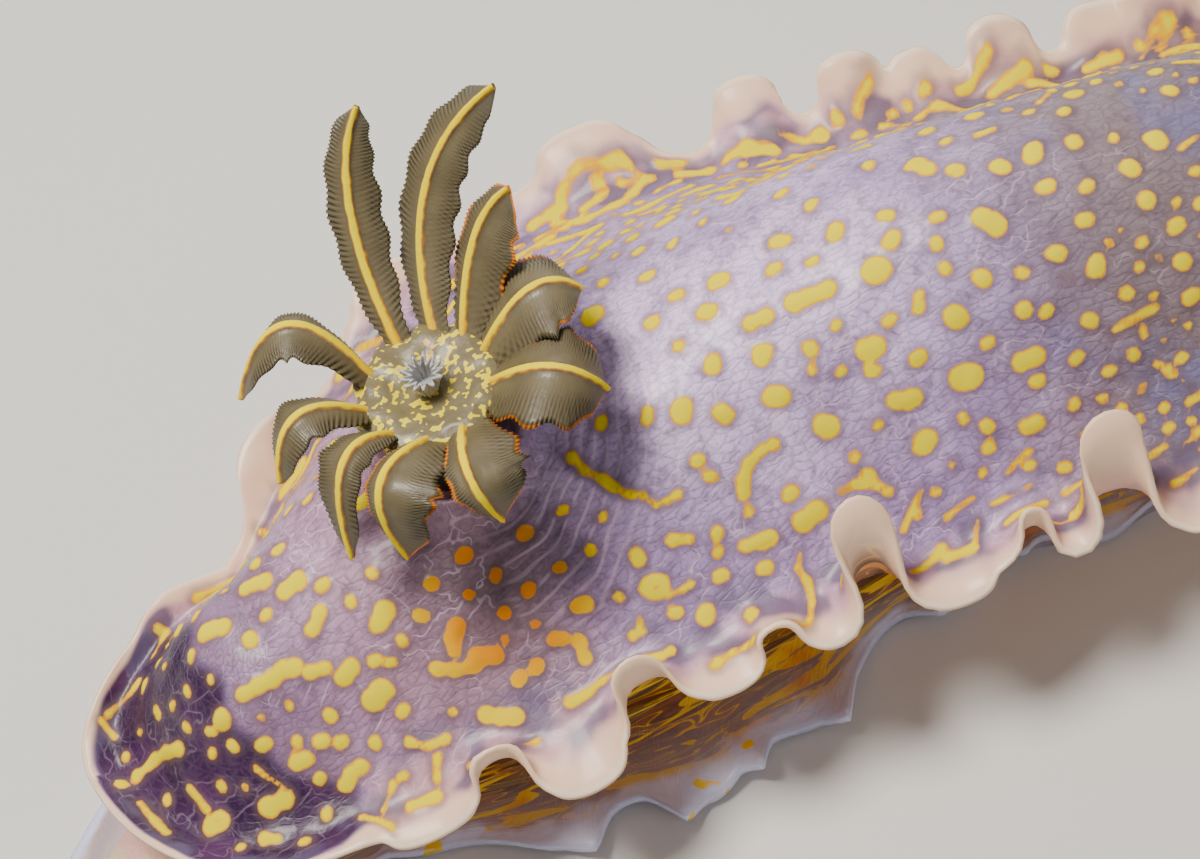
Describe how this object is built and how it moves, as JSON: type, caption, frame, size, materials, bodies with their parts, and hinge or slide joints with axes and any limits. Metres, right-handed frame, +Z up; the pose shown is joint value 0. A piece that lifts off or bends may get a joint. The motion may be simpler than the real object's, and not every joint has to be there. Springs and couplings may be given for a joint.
{
  "type": "dorid sea slug (nudibranch) specimen model",
  "caption": "Still, life-size dorid nudibranch crawling on its foot, with ruffled mantle rim, spread gill plume, rhinophores and tapering tail.",
  "frame": {"origin": "middle of the bounding box on the floor plane, under the foot's sole", "axes": "+X forward along the body to the head, +Y to the animal's left, +Z up"},
  "size_m": [0.1066, 0.0363, 0.0293],
  "materials": {
    "mantle": "moist lilac-grey skin with yellow spots and a cream rim",
    "flank": "moist olive-brown skin with long yellow lines",
    "foot": "pale bluish translucent skin",
    "gill": "olive-grey lamellate leaves with yellow lines",
    "papilla": "pale translucent pleated skin",
    "rhinophore": "dark blue lamellate skin"
  },
  "bodies": {
    "root": {"mantle_rear": "mantle", "mantle_mid_rear": "mantle", "mantle_mid_front": "mantle", "mantle_front": "mantle", "gill_pocket": "mantle", "rhinophore_sheath_left": "mantle", "rhinophore_sheath_right": "mantle", "flank_rear": "flank", "flank_middle": "flank", "flank_front": "flank", "head": "flank", "oral_tentacle_left": "flank", "oral_tentacle_right": "flank", "tail": "foot", "foot_rear": "foot", "foot_middle": "foot", "foot_front": "foot", "gill_disc": "gill", "gill_leaf_01": "gill", "gill_leaf_02": "gill", "gill_leaf_03": "gill", "gill_leaf_04": "gill", "gill_leaf_05": "gill", "gill_leaf_06": "gill", "gill_leaf_07": "gill", "gill_leaf_08": "gill", "gill_leaf_09": "gill", "gill_leaf_10": "gill", "anal_papilla": "papilla", "rhinophore_left": "rhinophore", "rhinophore_right": "rhinophore"}
  },
  "joints": []
}
